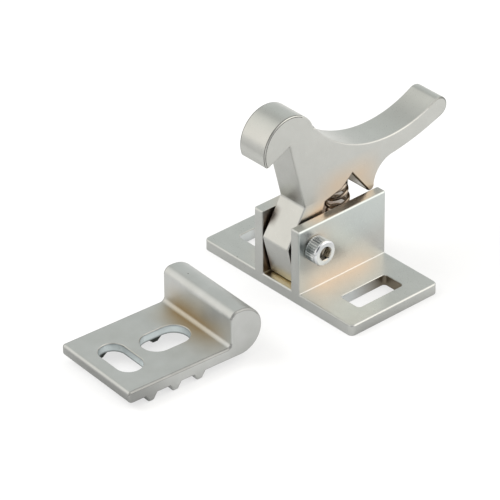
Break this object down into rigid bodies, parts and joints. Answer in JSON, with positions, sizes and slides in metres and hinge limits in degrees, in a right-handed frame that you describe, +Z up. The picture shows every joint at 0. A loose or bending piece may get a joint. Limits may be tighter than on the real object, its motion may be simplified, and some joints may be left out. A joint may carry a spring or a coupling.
{
  "type": "elbow catch",
  "caption": "Sprung hook lever with a thumb tail, pivoted on a cap screw in a flanged bracket, with a separate ridged strike whose round lip the hook catches.",
  "frame": {"origin": "centre of the bracket's underside, on the mounting plane", "axes": "+X along the lever from the hook to the thumb tail, Y along the pivot screw with its head at -Y, +Z up from the mounting plane"},
  "size_m": [0.0971, 0.0464, 0.0445],
  "materials": {
    "plated_bracket": "satin",
    "plated_lever": "satin",
    "plated_strike": "satin",
    "bright_screw": "polished",
    "spring_wire": "polished"
  },
  "bodies": {
    "bracket": {"base_bracket": "plated_bracket", "pivot_screw": "bright_screw", "return_spring": "spring_wire"},
    "lever": {"hook_lever": "plated_lever"},
    "strike_body": {"strike": "plated_strike"}
  },
  "joints": [
    {"name": "lever_pivot", "type": "hinge", "parent": "bracket", "child": "lever", "pos_m": [-0.00815, 0, 0.0127], "axis": [0, 1, 0], "range_deg": [0, 30], "stiffness_Nm_per_rad": 0.5, "springref_deg": -22.92, "deforming": ["return_spring"]},
    {"name": "strike_slide", "type": "slide", "parent": "bracket", "child": "strike_body", "axis": [-1, 0, 0], "range_m": [0, 0.04]}
  ]
}
